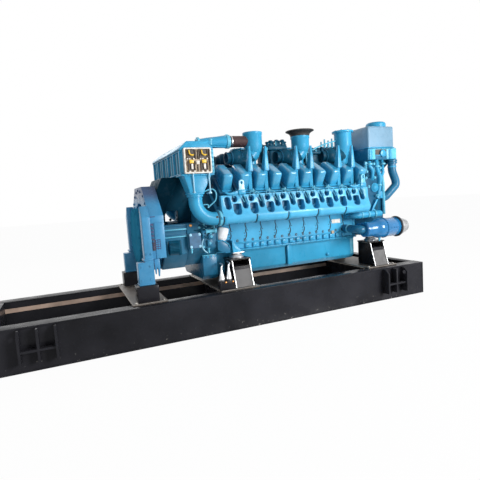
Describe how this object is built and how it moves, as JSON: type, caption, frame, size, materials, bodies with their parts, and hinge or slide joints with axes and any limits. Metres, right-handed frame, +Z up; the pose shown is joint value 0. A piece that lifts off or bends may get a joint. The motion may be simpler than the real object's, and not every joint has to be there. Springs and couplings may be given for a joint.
{
  "type": "diesel generator engine on base frame",
  "caption": "Large two-bank diesel engine with drive housing, air cooler and expansion tank, standing on rubber mounts over a welded black base frame.",
  "frame": {"origin": "middle of the base frame's underside", "axes": "+X along the crankshaft towards the free end, +Y across towards the far side, +Z up"},
  "size_m": [6.251, 1.96, 2.805],
  "materials": {
    "engine_blue": "semi-gloss engine enamel",
    "dark_blue": "semi-gloss enamel in shade",
    "frame_black": "gloss black paint",
    "mount_steel": "bare zinc plated",
    "grille_navy": "perforated sheet",
    "hose_rubber": "matte",
    "panel_beige": "matte, open face",
    "exhaust_black": "heat-resistant black",
    "nose_grey": "cast",
    "filter_white": "wrapped in film"
  },
  "bodies": {
    "root": {"air_elbows": "engine_blue", "air_manifolds": "engine_blue", "air_pipe": "engine_blue", "air_pot": "engine_blue", "bypass_pipes": "engine_blue", "capped_pots": "engine_blue", "carrier_fins": "engine_blue", "coolant_pipes": "engine_blue", "coolant_pumps": "engine_blue", "cooler_casing": "engine_blue", "cooler_hoppers": "engine_blue", "cooler_lid": "engine_blue", "crankcase": "engine_blue", "engine_feet": "engine_blue", "exhaust_pot": "engine_blue", "expansion_tank": "engine_blue", "gear_case": "engine_blue", "head_covers": "engine_blue", "lifting_eyes": "engine_blue", "manifold_clamps": "engine_blue", "oil_pan": "engine_blue", "outlet_duct": "engine_blue", "ring_housing": "engine_blue", "runner_banks": "engine_blue", "side_bosses": "engine_blue", "sump_step": "engine_blue", "support_posts": "engine_blue", "tank_cap": "engine_blue", "tank_column": "engine_blue", "cooler_bracket": "dark_blue", "coupling_guard": "dark_blue", "cylinder_heads": "dark_blue", "flywheel_housing": "dark_blue", "junction_boxes": "dark_blue", "starter_motors": "dark_blue", "turbo_carrier": "dark_blue", "turbochargers": "dark_blue", "cover_plates": "frame_black", "cross_members": "frame_black", "lifting_lugs": "frame_black", "pedestals": "frame_black", "post_blocks": "frame_black", "rail_end_plates": "frame_black", "rail_far": "frame_black", "rail_near": "frame_black", "drive_coupling": "mount_steel", "rubber_mounts": "mount_steel", "ring_grilles": "grille_navy", "air_hose": "hose_rubber", "electrics_panel": "panel_beige", "exhaust_flange": "exhaust_black", "pump_noses": "nose_grey", "fuel_filter": "filter_white"}
  },
  "joints": []
}
